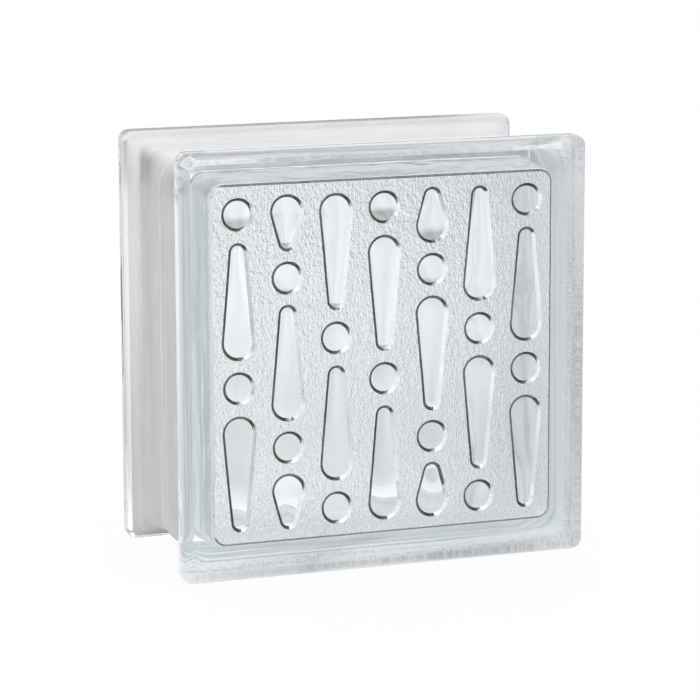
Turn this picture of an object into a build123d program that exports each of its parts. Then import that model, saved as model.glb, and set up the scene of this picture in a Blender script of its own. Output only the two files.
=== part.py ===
from build123d import *
from math import atan2, degrees
import os

os.makedirs("parts", exist_ok=True)

# Square glass block pressed as two half shells and fused at the seam into one hollow piece.
# Sizes are in millimetres. Each shell is built lying down, seam at height 0 and face upwards.

# Whole block
face_size = 190.0
block_depth = 100.0

# Lips round the two faces
lip_width = 11.0
flat_corner_radius = 0.5
lip_face_rounding = 4.5
lip_back_bevel = 1.5

# Mortar channel: its depth below the lips at three stations, the reach of the cove between a lip and the
# waist, and the corner radius at the seam
channel_at_lip = 2.6
channel_at_waist = 7.3
channel_at_seam = 5.4
cove_reach = 12.0
seam_corner_radius = 16.0

# Inside of a shell
pane_thickness = 9.0
wall_at_seam = 6.4
panel_border = 16.0
panel_corner_radius = 5.0
panel_edge_bevel = 1.6
panel_edge_drop = 2.0

# Pressed figures on the front pane, as shares of the panel or of a column
column_count = 7
long_share = 0.33
short_share = 0.16
disc_share = 0.094
blunt_end_share = 0.35
slim_end_share = 0.19
middle_share = 0.5
relief = 1.8
relief_bevel = 1.45

# Length by which cutting solids run past the faces they cut
overrun = 1.0

half_depth = block_depth / 2
lip_back = half_depth - lip_width
lip_corner_radius = flat_corner_radius + lip_face_rounding
pane_back = half_depth - pane_thickness
seam_size = face_size - 2 * channel_at_seam
panel_size = face_size - 2 * panel_border
mouth_size = seam_size - 2 * wall_at_seam
pocket_narrowing = mouth_size / 2 - panel_size / 2 - panel_edge_bevel
column_pitch = panel_size / column_count
column_kinds = (
    ("long", "disc", "long", "disc"),
    ("short", "disc", "long", "disc", "short"),
    ("disc", "long", "disc", "long"),
)
figure_lengths = {
    "long": panel_size * long_share,
    "short": panel_size * short_share,
    "disc": panel_size * disc_share,
}


def rounded_square(size, radius, height):
    """A square outline with round corners, lying at a height above the seam."""
    return Pos(0, 0, height) * RectangleRounded(size, size, radius)


def neck():
    """The waisted side walls of one half: their section, carried round the seam. Its outside is a flat arc
    from the seam to the waist, which runs on into a tighter one, the cove, that runs out to the lip."""
    seam_line = rounded_square(seam_size, seam_corner_radius, 0).wire()
    inward = wall_at_seam + pocket_narrowing + overrun
    waist_height = lip_back - cove_reach
    seam_point = (0, 0)
    waist_point = (channel_at_waist - channel_at_seam, waist_height)
    foot_point = (channel_at_lip - channel_at_seam, lip_back)
    hollow = TangentArc(waist_point, seam_point, tangent=(0, -1))
    cove = TangentArc(waist_point, foot_point, tangent=(0, 1))
    inside = Polyline(foot_point, (inward, lip_back), (inward, 0), seam_point)
    across = Plane(seam_line @ 0, x_dir=Vector(0, 0, 1).cross(seam_line % 0), z_dir=seam_line % 0)
    return sweep(across * make_face([hollow, cove, inside]), seam_line)


def outer_shell():
    """One half of the outside: the waisted neck and the solid plate with the lip round the face."""
    lip = extrude(rounded_square(face_size, lip_corner_radius, lip_back), lip_width)
    lip = fillet(lip.faces().sort_by(Axis.Z)[-1].edges(), lip_face_rounding)
    lip = chamfer(lip.faces().sort_by(Axis.Z)[0].edges(), lip_back_bevel)
    return neck() + lip


def pocket():
    """The space inside one half: it narrows from its mouth at the seam and ends in a bevel round the panel."""
    mouth_corner_radius = panel_corner_radius + panel_edge_bevel + pocket_narrowing
    mouth = rounded_square(mouth_size, mouth_corner_radius, 0)
    space = extrude(mouth, pane_back, taper=degrees(atan2(pocket_narrowing, pane_back)))
    panel = space.faces().sort_by(Axis.Z)[-1]
    return chamfer(panel.edges(), panel_edge_bevel, panel_edge_drop, reference=panel)


def figure_outline(kind, inset):
    """A disc, or a drop made as the hull of a blunt and a slim end circle, set in all round by an inset."""
    length = figure_lengths[kind]
    if kind == "disc":
        return Circle(length / 2 - inset)
    blunt_radius = column_pitch * blunt_end_share
    slim_radius = column_pitch * slim_end_share
    blunt_end = Pos(0, length / 2 - blunt_radius) * Circle(blunt_radius - inset)
    slim_end = Pos(0, slim_radius - length / 2) * Circle(slim_radius - inset)
    return make_hull(blunt_end.edges() + slim_end.edges())


def figure(kind):
    """One figure: a bevelled plateau below the pane plane, with a root that runs into the pane."""
    base = figure_outline(kind, 0)
    top = Pos(0, 0, -relief) * figure_outline(kind, relief_bevel)
    return loft([base, top], ruled=True) + extrude(base, overrun)


def pressed_figures():
    """The raised figures, in columns of three kinds, each column spread evenly over the panel."""
    figures = []
    blunt_end_up = True
    for column in range(column_count):
        kinds = column_kinds[column % len(column_kinds)]
        gap = (panel_size - sum(figure_lengths[kind] for kind in kinds)) / (len(kinds) + 1)
        across = (column + middle_share) * column_pitch - panel_size / 2
        along = -panel_size / 2
        for kind in kinds:
            length = figure_lengths[kind]
            place = Pos(across, along + gap + length / 2, pane_back)
            turn = Rot(0, 0, 0 if blunt_end_up else 180)
            figures.append(place * turn * figure(kind))
            along += gap + length
            if kind != "disc":
                blunt_end_up = not blunt_end_up
    return figures


front_half = outer_shell() - (pocket() - pressed_figures())
rear_half = mirror(outer_shell() - pocket(), about=Plane.XY)
standing = Location(Plane(origin=(0, 0, face_size / 2), x_dir=(1, 0, 0), z_dir=(0, -1, 0)))
glass_block = standing * (front_half + rear_half)
glass_block.label = "glass_block"
export_step(glass_block, "parts/glass_block.step")
print("glass_block volume", round(glass_block.volume), "solids", len(glass_block.solids()))
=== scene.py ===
"""Looks of the pressed glass block: one hollow piece of glass with a pale coating in its mortar channel."""

import math

import bpy
import bmesh
import numpy as np
from mathutils import Matrix, Vector
from mathutils.geometry import delaunay_2d_cdt


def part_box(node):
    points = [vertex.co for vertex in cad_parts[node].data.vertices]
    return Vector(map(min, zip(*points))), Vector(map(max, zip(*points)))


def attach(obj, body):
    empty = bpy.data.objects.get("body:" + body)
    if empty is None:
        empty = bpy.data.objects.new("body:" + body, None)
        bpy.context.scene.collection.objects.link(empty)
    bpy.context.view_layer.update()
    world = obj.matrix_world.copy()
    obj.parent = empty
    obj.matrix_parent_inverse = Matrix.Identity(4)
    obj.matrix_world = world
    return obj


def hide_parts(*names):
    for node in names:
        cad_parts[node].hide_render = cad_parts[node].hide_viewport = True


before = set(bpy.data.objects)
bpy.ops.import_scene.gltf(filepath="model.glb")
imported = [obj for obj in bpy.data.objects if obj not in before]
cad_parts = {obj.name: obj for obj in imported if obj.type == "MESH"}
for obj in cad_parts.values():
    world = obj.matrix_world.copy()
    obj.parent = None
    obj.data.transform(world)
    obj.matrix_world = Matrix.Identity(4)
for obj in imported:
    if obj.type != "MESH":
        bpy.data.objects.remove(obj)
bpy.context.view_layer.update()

# Sizes in metres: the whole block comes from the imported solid
lowest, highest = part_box("glass_block")
half_side = (highest.x - lowest.x) / 2
half_depth = (highest.y - lowest.y) / 2
middle = Vector((lowest + highest) / 2)
mm = 0.001

# Lips round the two faces
lip_width = 11.0 * mm
lip_corner_radius = 5.0 * mm
face_rounding = 4.5 * mm
back_rounding = 2.0 * mm
lip_back = half_depth - lip_width

# Mortar channel: its depth at the lip, the waist and the seam, the reach of the cove between the lip and the
# waist, and its corner radius at the seam and at the foot of the lip
channel_at_lip = 2.6 * mm
channel_at_seam = 5.4 * mm
channel_at_waist = 7.3 * mm
cove_reach = 12.0 * mm
corner_at_seam = 16.0 * mm
corner_at_foot = 4.0 * mm
seam_bead = 0.35 * mm
seam_bead_width = 0.9 * mm

# Space inside the block
pane_thickness = 9.0 * mm
wall_at_seam = 6.4 * mm
panel_border = 16.0 * mm
pane_back = half_depth - pane_thickness
mouth_half = half_side - channel_at_seam - wall_at_seam
panel_half = half_side - panel_border
panel_corner_radius = 5.0 * mm
pocket_rounding = 2.5 * mm
panel_edge_drop = 1.25 * mm
panel_edge_bevel = 1.0 * mm

# Pressed figures on the inside of the front pane
column_kinds = (
    ("long", "disc", "long", "disc"),
    ("short", "disc", "long", "disc", "short"),
    ("disc", "long", "disc", "long"),
)
column_count = 7
panel_size = 2 * panel_half
column_pitch = panel_size / column_count
length_shares = {"long": 0.33, "short": 0.16, "disc": 0.094}
figure_lengths = {kind: share * panel_size for kind, share in length_shares.items()}
blunt_radius = 0.35 * column_pitch
slim_radius = 0.19 * column_pitch
relief = 1.8 * mm
relief_bevel = 1.45 * mm
figure_dome = 0.45 * mm

# Share of the painted dark line along a figure's bevel that the bevel round the panel shows
panel_painted_line_share = 0.85

# Rings across a bevel, as shares of its width, close together by its edges to keep them crisp, and rings from
# a figure's bevel in to its axis, as shares of the way
bevel_shares = np.array((0, 0.04, 0.35, 0.65, 0.96, 1))
dome_shares = np.array((0.97, 0.8, 0.6, 0.4, 0.2, 0))

# Fineness of the mesh: steps along the arcs of a section, round a corner and along a side
lip_steps = 10
pocket_steps = 8
outer_corner_steps = 14
outer_side_steps = 12
pocket_corner_steps = 12
pocket_side_steps = 40
figure_arc_steps = 28
figure_side_steps = 14

# How close points of the mesh have to be to become one, how close to a plane to lie in it, and how close the
# points of the figures' outlines have to be to meet
weld_distance = 0.002 * mm
flat_tolerance = 0.001 * mm
outline_tolerance = 0.0001 * mm

# Clear glass with a faint blue-green tint
clear_glass = {
    "Base Color": (0.965, 0.98, 0.99, 1.0),
    "Roughness": 0.0,
    "IOR": 1.52,
    "Transmission Weight": 1.0,
}


def ring_pattern(corner_steps, side_steps):
    """Points round a square, anticlockwise seen from the front, as two shares each: of the core's half side
    and of the corner radius. Along a side the core share runs from corner to corner and the radius share
    keeps the side's direction; round a corner the core share stays and the radius share turns."""
    along = np.linspace(-1, 1, side_steps, endpoint=False)
    turn = np.linspace(0, np.pi / 2, corner_steps, endpoint=False)
    core_shares = []
    radius_shares = []
    for side in range(4):
        facing = (side - 1) * np.pi / 2
        outward = np.array((np.cos(facing), np.sin(facing)))
        onward = np.array((-np.sin(facing), np.cos(facing)))
        core_shares.append(outward + along[:, None] * onward)
        core_shares.append(np.tile(outward + onward, (corner_steps, 1)))
        radius_shares.append(np.tile(outward, (side_steps, 1)))
        radius_shares.append(np.stack((np.cos(facing + turn), np.sin(facing + turn)), 1))
    return np.concatenate(core_shares), np.concatenate(radius_shares)


def rounded_rings(pattern, places, halves, radii):
    """One rounded square for each place along the depth: core half side times the core shares plus corner
    radius times the radius shares, lifted to the block's middle height."""
    core_shares, radius_shares = pattern
    cores = (halves - radii)[:, None, None]
    outline = cores * core_shares + radii[:, None, None] * radius_shares
    depth = np.broadcast_to(places[:, None], outline.shape[:2])
    return np.stack((outline[..., 0], depth, outline[..., 1] + middle.z), -1)


def strip_faces(starts, count, turned):
    """Quads between neighbouring rings of count points that start at the given vertex numbers."""
    around = np.arange(count)
    onward = (around + 1) % count
    first = np.asarray(starts[:-1])[:, None]
    second = np.asarray(starts[1:])[:, None]
    quads = np.stack((first + around, second + around, second + onward, first + onward), -1).reshape(-1, 4)
    return quads[:, ::-1] if turned else quads


def fan_faces(start, count, centre, turned):
    """Triangles from a ring to one centre point."""
    around = np.arange(count)
    fan = np.stack((start + around, start + (around + 1) % count, np.full(count, centre)), -1)
    return fan[:, ::-1] if turned else fan


def lip_section(steps):
    """Half of the outside section from the flat face to the seam, as distance from the seam, inset and
    corner radius: a quarter circle, the rim, a quarter circle, a cove that is an arc upright at the waist,
    and from there a parabola with a low bead at the seam. Last come the numbers of two of its points: the
    rim's middle and the foot of the lip's back."""
    smallest_corner = 0.1 * lip_corner_radius
    crowding_at_seam = 1.5
    turn = np.linspace(0, np.pi / 2, steps)
    face_place = half_depth - face_rounding * (1 - np.cos(turn))
    face_inset = face_rounding * (1 - np.sin(turn))
    back_place = lip_back + back_rounding * (1 - np.sin(turn))
    back_inset = back_rounding * (1 - np.cos(turn))
    rim_middle = (face_place[-1] + back_place[0]) / 2
    lip_place = np.concatenate((face_place, (rim_middle,), back_place))
    lip_inset = np.concatenate((face_inset, (0,), back_inset))
    lip_radius = np.maximum(lip_corner_radius - lip_inset, smallest_corner)
    waist = lip_back - cove_reach
    cove_width = channel_at_waist - channel_at_lip
    cove_radius = (cove_reach ** 2 + cove_width ** 2) / (2 * cove_width)
    cove_turn = np.linspace(np.arcsin(cove_reach / cove_radius), 0, steps)
    cove_place = waist + cove_radius * np.sin(cove_turn)
    cove_inset = channel_at_waist - cove_radius * (1 - np.cos(cove_turn))
    way = np.linspace(1, 0, 3 * steps)[1:] ** crowding_at_seam
    hollow_inset = channel_at_seam + (channel_at_waist - channel_at_seam) * (1 - (1 - way) ** 2)
    hollow_inset = hollow_inset - seam_bead * np.exp(-(way * waist / seam_bead_width) ** 2)
    channel_place = np.concatenate((cove_place, way * waist))
    channel_inset = np.concatenate((cove_inset, hollow_inset))
    channel_radius = corner_at_seam + (corner_at_foot - corner_at_seam) * channel_place / lip_back
    place = np.concatenate((lip_place, channel_place))
    inset = np.concatenate((lip_inset, channel_inset))
    radius = np.concatenate((lip_radius, channel_radius))
    return place, inset, radius, (steps, len(lip_place) - 1)


def outer_skin():
    """The outside: rounded squares along the section, mirrored about the seam, closed by two flat faces. The
    coat lies between the lips. It runs onto half of the front rim at the right and below, and over the rear
    rim above."""
    place, inset, radius, (rim_middle, behind_lip) = lip_section(lip_steps)
    places = np.concatenate((-place, place[-2::-1]))
    halves = half_side - np.concatenate((inset, inset[-2::-1]))
    radii = np.concatenate((radius, radius[-2::-1]))
    pattern = ring_pattern(outer_corner_steps, outer_side_steps)
    rings = rounded_rings(pattern, places, halves, radii)
    station_count, count = rings.shape[:2]
    centres = np.array(((0, -half_depth, middle.z), (0, half_depth, middle.z)))
    points = np.concatenate((rings.reshape(-1, 3), centres))
    starts = np.arange(station_count) * count
    sides = strip_faces(starts, count, False)
    front = fan_faces(starts[0], count, len(points) - 2, False)
    rear = fan_faces(starts[-1], count, len(points) - 1, True)
    strip = np.arange(len(sides)) // count
    strip_from_rear = station_count - 2 - strip
    aside = points[sides[:, 0], 0]
    above = points[sides[:, 0], 2] - middle.z
    from_front = np.where(aside > above, rim_middle, behind_lip)
    from_rear = np.where(above > np.abs(aside), rim_middle - 1, behind_lip)
    coated = (strip >= from_front) & (strip_from_rear >= from_rear)
    return points, sides, np.concatenate((front, rear)), coated


def figure_guide(kind, arc_steps, side_steps):
    """Walk round a drop that stands blunt end up, or a disc: for each point the height of its circle's
    centre, that circle's radius and the direction from the centre. The two arcs turn round fixed centres,
    the straight sides slide from one circle to the other with one direction."""
    length = figure_lengths[kind]
    if kind == "disc":
        turn = np.linspace(0, 2 * np.pi, 2 * arc_steps, endpoint=False)
        return np.zeros_like(turn), np.full_like(turn, length / 2), turn
    blunt_height = length / 2 - blunt_radius
    slim_height = slim_radius - length / 2
    lean = np.arcsin((blunt_radius - slim_radius) / (blunt_height - slim_height))
    slide = np.linspace(0, 1, side_steps + 1, endpoint=False)[1:]
    blunt_turn = np.linspace(-lean, np.pi + lean, arc_steps)
    slim_turn = np.linspace(np.pi + lean, 2 * np.pi - lean, arc_steps)
    heights = np.concatenate((
        np.full(arc_steps, blunt_height),
        blunt_height + slide * (slim_height - blunt_height),
        np.full(arc_steps, slim_height),
        slim_height + slide * (blunt_height - slim_height),
    ))
    radii = np.concatenate((
        np.full(arc_steps, blunt_radius),
        blunt_radius + slide * (slim_radius - blunt_radius),
        np.full(arc_steps, slim_radius),
        slim_radius + slide * (blunt_radius - slim_radius),
    ))
    turns = np.concatenate((
        blunt_turn,
        np.full(side_steps, np.pi + lean),
        slim_turn,
        np.full(side_steps, -lean),
    ))
    return heights, radii, turns


def figure_rings(kind, across, along, blunt_end_up):
    """One pressed figure as rings: up its even bevel, then in to its axis over a low dome whose height falls
    with the square of the share of the way from the axis."""
    heights, radii, turns = figure_guide(kind, figure_arc_steps, figure_side_steps)
    bevel_reach = radii - relief_bevel * bevel_shares[:, None]
    dome_reach = (radii - relief_bevel) * dome_shares[:, None]
    reach = np.concatenate((bevel_reach, dome_reach))
    rise = np.concatenate((relief * bevel_shares, relief + figure_dome * (1 - dome_shares ** 2)))
    way = 1 if blunt_end_up else -1
    x = across + way * reach * np.cos(turns)
    z = middle.z + along + way * (heights + reach * np.sin(turns))
    y = np.broadcast_to((rise - pane_back)[:, None], x.shape)
    return np.stack((x, y, z), -1)


def pressed_figures():
    """The raised figures, in columns of three kinds, each column spread evenly over the panel."""
    figures = []
    blunt_end_up = True
    for column in range(column_count):
        kinds = column_kinds[column % len(column_kinds)]
        gap = (panel_size - sum(figure_lengths[kind] for kind in kinds)) / (len(kinds) + 1)
        across = (column + 0.5) * column_pitch - panel_half
        along = -panel_half
        for kind in kinds:
            length = figure_lengths[kind]
            figures.append(figure_rings(kind, across, along + gap + length / 2, blunt_end_up))
            along += gap + length
            if kind != "disc":
                blunt_end_up = not blunt_end_up
    return figures


def ground_triangles(loops):
    """The flat ground between the panel's edge, the first loop, and the figures' outlines, the other loops,
    as triangles on the loops' own points. A triangle whose corners lie on one outline is inside it."""
    inside_outer_loop = 1
    flat = np.concatenate(loops)[:, (0, 2)]
    sizes = [len(loop) for loop in loops]
    starts = np.concatenate(((0,), np.cumsum(sizes)[:-1]))
    owner = np.repeat(np.arange(len(loops)), sizes)
    edges = np.concatenate([
        start + np.stack((np.arange(size), (np.arange(size) + 1) % size), -1)
        for start, size in zip(starts, sizes)
    ])
    found = delaunay_2d_cdt(flat.tolist(), edges.tolist(), [], inside_outer_loop, outline_tolerance)
    origin = np.array([source[0] for source in found[3]])
    triangles = origin[np.array(found[2])]
    owners = owner[triangles]
    inside = (owners[:, 0] == owners[:, 1]) & (owners[:, 0] == owners[:, 2]) & (owners[:, 0] > 0)
    return triangles[~inside]


def pocket_section(steps):
    """Half of the inside section from the pane to the seam: the bevel round the panel, an arc that carries
    its slope on until it is upright, then a straight wall that widens to the mouth."""
    lean = np.arctan2(panel_edge_drop, panel_edge_bevel)
    turn = np.linspace(lean, np.pi / 2, steps)
    bevel_place = pane_back - panel_edge_drop * bevel_shares
    bevel_half = panel_half + panel_edge_bevel * bevel_shares
    round_place = bevel_place[-1] - pocket_rounding * (np.cos(lean) - np.cos(turn[1:]))
    round_half = bevel_half[-1] + pocket_rounding * (np.sin(turn[1:]) - np.sin(lean))
    straight = np.linspace(0, 1, steps)[1:]
    wall_place = round_place[-1] * (1 - straight)
    wall_half = round_half[-1] + (mouth_half - round_half[-1]) * straight
    place = np.concatenate((bevel_place, round_place, wall_place))
    half = np.concatenate((bevel_half, round_half, wall_half))
    return place, half, panel_corner_radius + half - panel_half


def bevel_mark(ring_count, around):
    """1 on the rings between the two edges of a bevel, which the rings start with, and 0 on the others."""
    ring = np.arange(ring_count)
    return np.repeat((ring > 0) & (ring < len(bevel_shares) - 1), around).astype(float)


def cavity_skin():
    """The inside, facing the space: pressed front pane, walls, and the plain rear pane as a flat fan. Two
    marks go with its points: one for the ground of the front pane and one for the bevels, which carries their
    painted dark line."""
    place, half, radius = pocket_section(pocket_steps)
    places = np.concatenate((-place, place[-2::-1]))
    halves = np.concatenate((half, half[-2::-1]))
    radii = np.concatenate((radius, radius[-2::-1]))
    walls = rounded_rings(ring_pattern(pocket_corner_steps, pocket_side_steps), places, halves, radii)
    figures = pressed_figures()
    station_count, count = walls.shape[:2]
    ground = ground_triangles([walls[0]] + [figure[0] for figure in figures])
    points = [walls.reshape(-1, 3), np.array(((0, pane_back, middle.z),))]
    starts = np.arange(station_count) * count
    quads = [strip_faces(starts, count, True)]
    triangles = [fan_faces(starts[-1], count, station_count * count, False)]
    lookup = [np.arange(count)]
    bevels = [bevel_mark(station_count, count) * panel_painted_line_share, np.zeros(1)]
    next_point = station_count * count + 1
    for figure in figures:
        ring_count, around = figure.shape[:2]
        ring_starts = next_point + np.arange(ring_count) * around
        quads.append(strip_faces(ring_starts, around, False))
        lookup.append(next_point + np.arange(around))
        points.append(figure.reshape(-1, 3))
        bevels.append(bevel_mark(ring_count, around))
        next_point += ring_count * around
    lookup = np.concatenate(lookup)
    ground = lookup[ground]
    corners = np.concatenate(points)
    a, b, c = (corners[ground[:, index]] for index in range(3))
    facing = np.cross(b - a, c - a)[:, 1]
    ground[facing < 0] = ground[facing < 0][:, ::-1]
    triangles.append(ground)
    on_ground = np.zeros(len(corners))
    on_ground[lookup] = 1
    return corners, np.concatenate(quads), np.concatenate(triangles), on_ground, np.concatenate(bevels)


def build_block():
    """Outside and inside skins in one mesh, with the ground of the front pane marked for its fine marks and
    the bevels marked for their painted dark line. Points in the four flat planes get the plane's own normal,
    so that the panes look flat."""
    outer_points, outer_quads, outer_fans, coated = outer_skin()
    inner_points, inner_quads, inner_fans, on_ground, on_bevel = cavity_skin()
    shift = len(outer_points)
    points = np.concatenate((outer_points, inner_points))
    faces = outer_quads.tolist() + outer_fans.tolist() + (inner_quads + shift).tolist()
    faces = faces + (inner_fans + shift).tolist()
    mesh = bpy.data.meshes.new("pressed_block")
    mesh.from_pydata(points.tolist(), [], faces)
    coat_index = np.zeros(len(faces), np.int32)
    coat_index[:len(coated)] = coated
    mesh.polygons.foreach_set("material_index", coat_index)
    for name, share in (("ground", on_ground), ("bevel", on_bevel)):
        mark = mesh.attributes.new(name, "FLOAT", "POINT")
        mark.data.foreach_set("value", np.concatenate((np.zeros(shift), share)).astype(np.float32))
    skin = bmesh.new()
    skin.from_mesh(mesh)
    bmesh.ops.remove_doubles(skin, verts=skin.verts, dist=weld_distance)
    skin.to_mesh(mesh)
    skin.free()
    mesh.polygons.foreach_set("use_smooth", np.ones(len(mesh.polygons), bool))
    mesh.update()
    normals = np.empty(3 * len(mesh.vertices), np.float32)
    mesh.vertex_normals.foreach_get("vector", normals)
    normals = normals.reshape(-1, 3)
    place = np.empty(3 * len(mesh.vertices), np.float32)
    mesh.vertices.foreach_get("co", place)
    place = place.reshape(-1, 3)
    flat_inside = np.abs(np.abs(place[:, 1]) - pane_back) < flat_tolerance
    normals[flat_inside] = np.where(place[flat_inside, 1:2] < 0, (0, 1, 0), (0, -1, 0))
    flat_face = np.abs(np.abs(place[:, 1]) - half_depth) < flat_tolerance
    normals[flat_face] = np.where(place[flat_face, 1:2] < 0, (0, -1, 0), (0, 1, 0))
    mesh.normals_split_custom_set_from_vertices(normals.tolist())
    block = bpy.data.objects.new("pressed_block", mesh)
    bpy.context.scene.collection.objects.link(block)
    return block


class Link:
    """A shader value that takes part in Python sums: each operator adds one Math node."""

    def __init__(self, finish, socket):
        self.finish = finish
        self.socket = socket

    def other(self, name):
        """Another output of the same node."""
        return Link(self.finish, self.socket.node.outputs[name])

    def sum_with(self, operation, first, second):
        """One Math node on two values."""
        return self.finish.add("ShaderNodeMath", {"operation": operation}, {0: first, 1: second})

    def __abs__(self):
        return self.finish.add("ShaderNodeMath", {"operation": "ABSOLUTE"}, {0: self})

    def __add__(self, value):
        return self.sum_with("ADD", self, value)

    def __radd__(self, value):
        return self.sum_with("ADD", value, self)

    def __sub__(self, value):
        return self.sum_with("SUBTRACT", self, value)

    def __rsub__(self, value):
        return self.sum_with("SUBTRACT", value, self)

    def __mul__(self, value):
        return self.sum_with("MULTIPLY", self, value)

    def __rmul__(self, value):
        return self.sum_with("MULTIPLY", value, self)


class Finish:
    """The node tree of a material or of the world."""

    def __init__(self, owner):
        owner.use_nodes = True
        self.tree = owner.node_tree
        self.tree.nodes.clear()

    def add(self, kind, settings, inputs, output=0):
        """A node of one kind: its settings first, then the values or links of its sockets."""
        node = self.tree.nodes.new(kind)
        for name, value in settings.items():
            setattr(node, name, value)
        for name, value in inputs.items():
            if isinstance(value, Link):
                self.tree.links.new(value.socket, node.inputs[name])
            else:
                node.inputs[name].default_value = value
        return Link(self, node.outputs[output]) if node.outputs else None

    def noise(self, place, stretch, scale, detail):
        """Noise on the object's own coordinates, stretched along each axis, with scale marks to the metre."""
        stretched = self.add("ShaderNodeVectorMath", {"operation": "MULTIPLY"}, {0: place, 1: stretch})
        return self.add(
            "ShaderNodeTexNoise",
            {},
            {"Vector": stretched, "Scale": scale, "Detail": detail, "Roughness": 0.5},
        )

    def rise(self, value, low, high, start, end):
        """A smooth step of a value from low to high, between two results."""
        return self.add(
            "ShaderNodeMapRange",
            {"interpolation_type": "SMOOTHSTEP"},
            {"Value": value, "From Min": low, "From Max": high, "To Min": start, "To Max": end},
        )

    def larger(self, first, second):
        """The larger of two values."""
        return self.add("ShaderNodeMath", {"operation": "MAXIMUM"}, {0: first, 1: second})

    def facing(self):
        """0 where the eye meets the surface squarely, rising to 1 along its outline."""
        return self.add("ShaderNodeLayerWeight", {}, {"Blend": 0.5}, "Facing")

    def grey(self, level):
        """A grey colour of one level."""
        return self.add("ShaderNodeCombineColor", {}, {0: level, 1: level, 2: level})

    def bump(self, height, strength, distance):
        """A normal tilted as by a relief: a height of 1 stands for the distance."""
        return self.add("ShaderNodeBump", {}, {"Strength": strength, "Distance": distance, "Height": height})

    def principled(self, inputs):
        """The general surface shader."""
        return self.add("ShaderNodeBsdfPrincipled", {}, inputs)

    def blend(self, share, first, second):
        """Two shaders in one: a share of the second and the rest of the first."""
        return self.add("ShaderNodeMixShader", {}, {0: share, 1: first, 2: second})


def glass_finish():
    """Clear pressed glass. The ground between the figures has fine upright marks and all faces have the slow
    waviness of pressed glass, less of it at the rear. Steep bevels get a painted dark line, a near-black
    shader mixed in where the eye meets them at a low angle, on top of the shade that light caught inside the
    glass gives them."""
    mark_height = 0.8
    front_wave_height = 0.4
    rear_wave_height = 0.2
    # Strength and colour of the painted dark line on the bevels
    darkest_painted_line = 0.88
    painted_line_colour = (0.02, 0.025, 0.025, 1.0)
    material = bpy.data.materials.new("pressed_glass")
    finish = Finish(material)
    place = finish.add("ShaderNodeTexCoord", {}, {}, "Object")
    depth = finish.add("ShaderNodeSeparateXYZ", {}, {"Vector": place}, "Y")
    ground = finish.add("ShaderNodeAttribute", {"attribute_name": "ground"}, {}, "Fac")
    bevel = finish.add("ShaderNodeAttribute", {"attribute_name": "bevel"}, {}, "Fac")
    upright = finish.noise(place, (1.0, 1.0, 0.4), 1500.0, 1.0)
    hammered = finish.noise(place, (1.0, 1.0, 0.6), 600.0, 1.0)
    slow = finish.noise(place, (1.0, 1.0, 0.4), 80.0, 1.0)
    marks = ground * (upright + hammered) * mark_height
    waves = slow * finish.rise(depth, 0.0, 30.0 * mm, front_wave_height, rear_wave_height)
    normal = finish.bump(marks + waves, 1.0, 1.0 * mm)
    clear = finish.principled({**clear_glass, "Normal": normal})
    # Painted shade: a near-black shader mixed in on the bevels where the eye meets them at a low angle
    painted_dark_line = finish.principled({"Base Color": painted_line_colour, "Roughness": 0.5})
    painted_line_share = bevel * finish.rise(finish.facing(), 0.22, 0.34, 0.0, darkest_painted_line)
    finish.add("ShaderNodeOutputMaterial", {}, {"Surface": finish.blend(painted_line_share, clear, painted_dark_line)})
    return material


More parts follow.
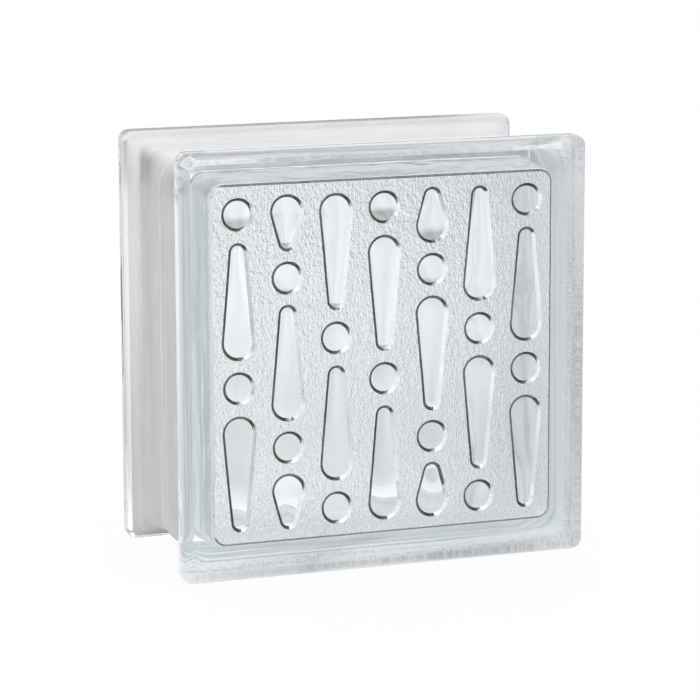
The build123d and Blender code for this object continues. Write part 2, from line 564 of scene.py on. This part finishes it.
def coat_finish():
    """Pale matte bonding coat in the channel, brushed on along it: fine grain, slow patches and long streaks.
    Its inside is seen through the glass with light from behind, blue-green by the seam and greyer by the
    lips, with light and shade painted in bands that follow the waist, the cove and the lips, and painted
    reflections in its streaks. It has painted shade as a dark crease in the upper left corner and a painted
    dark line on the upper edge of the rear lip, a painted highlight along the seam and painted light at the
    top and on the inside, and thins out to bare glass at the left of that lip."""
    # Lightness of the coat, and how much each mark adds to it: the brush's grain, patches and streaks, a
    # painted highlight on the seam, painted light at the top and on the inside, painted shade in the crease
    # and along the rear lip's edge
    plain_shade = 0.485
    grain_shade = 0.28
    patch_shade = 0.14
    streak_shade = 0.08
    painted_seam_light = 0.14
    painted_top_light = 0.2
    painted_inside_light = 0.14
    inside_red_loss = 0.085
    inside_green_loss = 0.025
    plain_green = 0.995
    painted_crease_depth = 0.42
    painted_edge_depth = 0.42
    painted_rim_depth = 0.7
    # Share of light from behind outside and inside, and how much each mark adds or takes there: the streaks
    # add painted reflections, the ticks marks of the brush, and the bands painted light and shade
    outside_light = 0.2
    inside_light = 0.6
    streak_light = 0.4
    tick_light = 0.2
    waist_light = 0.15
    cove_light = 0.22
    foot_loss = 0.1
    lip_light = 0.2
    rear_loss = 0.13
    top_loss = 0.42
    low_loss = 0.05
    teal_light = (0.87, 0.94, 0.96, 1.0)
    grey_light = (0.925, 0.932, 0.96, 1.0)
    # Height of the patches beside the grain, and how ragged the coat is where it thins out
    patch_height = 0.5
    ragged_edge = 3.0 * mm

    material = bpy.data.materials.new("channel_coat")
    finish = Finish(material)
    place = finish.add("ShaderNodeTexCoord", {}, {}, "Object")
    across = finish.add("ShaderNodeSeparateXYZ", {}, {"Vector": place}, "X")
    depth = across.other("Y")
    height = across.other("Z")
    upwards = height - middle.z
    above = abs(upwards)
    from_seam = abs(depth)
    top = finish.rise(height, 165.0 * mm, 182.0 * mm, 0.0, 1.0)
    inside = finish.add("ShaderNodeNewGeometry", {}, {}, "Backfacing")

    # Marks of the brush, and short ticks across the cove
    grain = finish.noise(place, (1.0, 1.0, 1.0), 1600.0, 2.0)
    patches = finish.noise(place, (1.0, 1.0, 1.0), 60.0, 2.0)
    broad = finish.noise(place, (0.03, 1.0, 0.03), 130.0, 2.0)
    narrow = finish.noise(place, (0.03, 1.0, 0.03), 420.0, 2.0)
    streaks = finish.rise(broad + narrow, 0.82, 1.18, -0.5, 0.5)
    ticks = finish.rise(finish.noise(place, (1.0, 0.12, 1.0), 900.0, 1.0), 0.35, 0.65, -1.0, 1.0)
    normal = finish.bump(grain + patches * patch_height, 0.6, 0.3 * mm)

    # Painted shade in the crease on the side wall below the upper left corner, darkest before the lips
    corner = finish.rise(abs(across) + above, 155.0 * mm, 171.0 * mm, 0.0, painted_crease_depth)
    on_wall = finish.rise(across + upwards, -6.0 * mm, 6.0 * mm, 1.0, 0.0)
    upper = finish.rise(height, 80.0 * mm, 120.0 * mm, 0.0, 1.0)
    off_seam = finish.rise(from_seam, 2.0 * mm, 28.0 * mm, 0.4, 1.0)
    off_lip = finish.rise(from_seam, 31.0 * mm, 35.0 * mm, 1.0, 0.0)
    painted_crease_shade = corner * on_wall * upper * off_seam * off_lip

    # Painted dark line on the upper edge of the rear lip, carried over the rim where the eye meets that at a
    # low angle
    from_edge = finish.rise(depth, 39.5 * mm, 40.2 * mm, 0.0, painted_edge_depth)
    to_rim = finish.rise(depth, 41.0 * mm, 42.5 * mm, 1.0, 0.0)
    on_rim = finish.rise(depth, 40.5 * mm, 41.5 * mm, 0.0, 1.0)
    low_angle = finish.rise(finish.facing(), 0.5, 0.78, 0.0, painted_rim_depth)
    fading = finish.rise(across, 55.0 * mm, 85.0 * mm, 1.0, 0.0)
    painted_edge_line = top * fading * finish.larger(from_edge * to_rim, on_rim * low_angle)

    # Colour of the coat, a little bluer on the inside, with a painted highlight along the seam, painted light
    # at the top and on the inside, and the painted shade of the crease and the rear lip's edge taken off
    painted_seam_highlight = finish.rise(from_seam, 0.4 * mm, 1.6 * mm, painted_seam_light, 0.0)
    brushed = grain * grain_shade + patches * patch_shade + streaks * streak_shade
    shade = brushed + painted_seam_highlight + top * painted_top_light + inside * painted_inside_light + plain_shade - painted_crease_shade - painted_edge_line
    red = shade * (1.0 - inside * inside_red_loss)
    green = shade * (plain_green - inside * inside_green_loss)
    colour = finish.add("ShaderNodeCombineColor", {}, {0: red, 1: green, 2: shade})
    outside = finish.principled({"Base Color": colour, "Roughness": 0.45, "Normal": normal})

    # Light from behind, with light and shade painted in bands along the channel and as reflections in the
    # streaks
    teal = finish.add("ShaderNodeBsdfTranslucent", {}, {"Color": teal_light, "Normal": normal})
    grey = finish.add("ShaderNodeBsdfTranslucent", {}, {"Color": grey_light, "Normal": normal})
    greyer = finish.rise(from_seam, 26.0 * mm, 42.0 * mm, 0.0, 0.85)
    through = finish.blend(finish.larger(top, greyer), teal, grey)
    by_waist = finish.rise(from_seam, 21.0 * mm, 25.0 * mm, 0.0, waist_light)
    past_waist = finish.rise(from_seam, 27.0 * mm, 29.0 * mm, 0.0, waist_light)
    up_cove = finish.rise(from_seam, 29.0 * mm, 32.0 * mm, 0.0, 1.0)
    by_lip = finish.rise(from_seam, 35.5 * mm, 37.5 * mm, 0.0, foot_loss)
    on_lip = finish.rise(from_seam, 39.5 * mm, 41.0 * mm, 0.0, lip_light)
    behind = finish.rise(depth, 0.0, 30.0 * mm, 0.0, rear_loss)
    low = finish.rise(height, 25.0 * mm, 110.0 * mm, low_loss, 0.0)
    marks = streaks * streak_light + up_cove * ticks * tick_light
    bands = by_waist - past_waist + up_cove * cove_light - by_lip + on_lip
    share = inside * (marks + bands - behind - top * top_loss - low + inside_light) + outside_light
    coat = finish.blend(share, outside, through)

    # Bare glass at the left of the rear lip, more of it higher up
    bare = finish.principled(clear_glass)
    at_left = finish.rise(across + above, -12.0 * mm, 6.0 * mm, 1.0, 0.0)
    by_rear_lip = finish.rise(depth + grain * ragged_edge, 32.0 * mm, 37.0 * mm, 0.0, 1.0)
    thinned = at_left * by_rear_lip * finish.rise(height, 20.0 * mm, 150.0 * mm, 0.1, 0.5)
    finish.add("ShaderNodeOutputMaterial", {}, {"Surface": finish.blend(thinned, coat, bare)})
    return material


def floor_finish():
    """A white sweep: plain white to the camera, with a little of the block's shadow kept. Glass shows it
    glowing, with light and shade painted into soft fields as between the lights of a studio: a painted shadow
    round the block, painted shade to the right, painted light under the block and to the left, painted shade
    far off except at the left, and faint painted ripples across."""
    slant = 0.3
    ripple_pace = 60.0
    ripple_height = 0.05
    plain_level = 0.92
    white_share = 0.94
    material = bpy.data.materials.new("white_sweep")
    finish = Finish(material)
    camera_ray = finish.add("ShaderNodeLightPath", {}, {}, "Is Camera Ray")
    in_glass = camera_ray.other("Is Glossy Ray") + camera_ray.other("Is Transmission Ray")
    place = finish.add("ShaderNodeTexCoord", {}, {}, "Object")
    across = finish.add("ShaderNodeSeparateXYZ", {}, {"Vector": place}, "X")
    away = finish.add("ShaderNodeVectorMath", {"operation": "LENGTH"}, {0: place}, "Value")
    aslant = across - across.other("Y") * slant
    ripples = finish.add("ShaderNodeMath", {"operation": "COSINE"}, {0: aslant * ripple_pace})
    # Painted light and shade in what glass shows of the floor: painted light to the left and under the block,
    # painted shade to the right, a painted shadow round the block and painted shade far off
    painted_left_light = finish.rise(aslant, -0.1, 0.0, 0.08, 0.0)
    right = finish.rise(aslant, 0.0, 0.12, 0.0, 0.05)
    painted_block_shadow = finish.rise(away, 0.15, 0.65, 0.18, 0.0)
    painted_light_under = finish.rise(away, 0.1, 0.15, 0.22, 0.0)
    painted_far_shade = finish.rise(away, 1.05, 1.5, 0.0, 0.42) * finish.rise(aslant, -0.2, -0.12, 0.0, 1.0)
    level = painted_left_light - right - painted_block_shadow + painted_light_under - painted_far_shade + ripples * ripple_height + plain_level
    lit = finish.add("ShaderNodeBsdfDiffuse", {}, {"Color": (0.95, 0.95, 0.95, 1.0)})
    white = finish.add("ShaderNodeEmission", {}, {"Color": (1.0, 1.0, 1.0, 1.0), "Strength": 1.0})
    # Glow of the floor seen in glass, carrying the painted light and shade
    glow_with_painted_fields = finish.add("ShaderNodeEmission", {}, {"Color": finish.grey(level), "Strength": 1.0})
    shown = finish.blend(white_share, lit, white)
    seen = finish.blend(camera_ray, lit, shown)
    finish.add("ShaderNodeOutputMaterial", {}, {"Surface": finish.blend(in_glass, seen, glow_with_painted_fields)})
    return material


def studio_world():
    """Soft studio light: bright above, behind and in front, quieter at the sides and low at the right. To the
    camera it is plain white."""
    side_light = 0.2
    end_light = 0.75
    sky_light = 0.8
    world = bpy.data.worlds.new("studio")
    bpy.context.scene.world = world
    finish = Finish(world)
    direction = finish.add("ShaderNodeTexCoord", {}, {}, "Generated")
    across = finish.add("ShaderNodeSeparateXYZ", {}, {"Vector": direction}, "X")
    upwards = across.other("Z")
    ends = finish.rise(abs(across.other("Y")), 0.2, 0.9, 0.0, 1.0)
    above = finish.rise(upwards, 0.1, 0.8, 0.0, 1.0)
    low = finish.rise(upwards, 0.0, 0.22, 0.5, 0.0)
    right = finish.rise(across, -0.05, 0.25, 0.0, 1.0)
    level = ends * end_light - ends * low * right + above * sky_light + side_light
    light = finish.add("ShaderNodeBackground", {}, {"Color": finish.grey(level), "Strength": 1.0})
    white = finish.add("ShaderNodeBackground", {}, {"Color": (1.0, 1.0, 1.0, 1.0), "Strength": 1.0})
    camera_ray = finish.add("ShaderNodeLightPath", {}, {}, "Is Camera Ray")
    finish.add("ShaderNodeOutputWorld", {}, {"Surface": finish.blend(camera_ray, light, white)})


def white_floor():
    """A large flat sheet under the block."""
    reach = 20.0
    mesh = bpy.data.meshes.new("floor")
    corners = np.array(((-1, -1, 0), (1, -1, 0), (1, 1, 0), (-1, 1, 0))) * reach
    mesh.from_pydata(corners.tolist(), [], [(0, 1, 2, 3)])
    floor = bpy.data.objects.new("floor", mesh)
    bpy.context.scene.collection.objects.link(floor)
    floor.data.materials.append(floor_finish())


def camera_view():
    """The camera: turned to the left of the front, a little above, far off with a long lens. The aim is
    given as steps to the right and upwards from the block's middle, square to the view."""
    turn = math.radians(-20.43)
    dip = math.radians(10.52)
    roll = math.radians(-0.08)
    distance = 1465.5 * mm
    aim_right = 12.5 * mm
    aim_up = 0.5 * mm
    image_size = 700.0
    focal_pixels = 3220.0
    axis_pixel = (377.9, 338.2)
    level_right = Vector((math.cos(turn), math.sin(turn), 0))
    forward = Vector((-math.sin(turn) * math.cos(dip), math.cos(turn) * math.cos(dip), -math.sin(dip)))
    level_down = forward.cross(level_right)
    right = level_right * math.cos(roll) - level_down * math.sin(roll)
    up = -level_right * math.sin(roll) - level_down * math.cos(roll)
    eye = middle + right * aim_right + up * aim_up - forward * distance
    lens = bpy.data.cameras.new("camera")
    lens.sensor_width = 36.0
    lens.lens = focal_pixels / image_size * lens.sensor_width
    lens.shift_x = (image_size / 2 - axis_pixel[0]) / image_size
    lens.shift_y = (axis_pixel[1] - image_size / 2) / image_size
    lens.clip_end = 100.0
    camera = bpy.data.objects.new("camera", lens)
    camera.matrix_world = Matrix((
        (right.x, up.x, -forward.x, eye.x),
        (right.y, up.y, -forward.y, eye.y),
        (right.z, up.z, -forward.z, eye.z),
        (0, 0, 0, 1),
    ))
    bpy.context.scene.collection.objects.link(camera)
    bpy.context.scene.camera = camera


def light_paths():
    """Enough bounces for the light that is caught in the thick edges of the glass."""
    cycles = bpy.context.scene.cycles
    cycles.max_bounces = 24
    cycles.glossy_bounces = 16
    cycles.transmission_bounces = 20
    cycles.diffuse_bounces = 6


camera_view()
white_floor()
studio_world()
light_paths()
bpy.context.scene.view_settings.view_transform = "Standard"

block = build_block()
block.data.materials.append(glass_finish())
block.data.materials.append(coat_finish())
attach(block, "root")
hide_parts("glass_block")
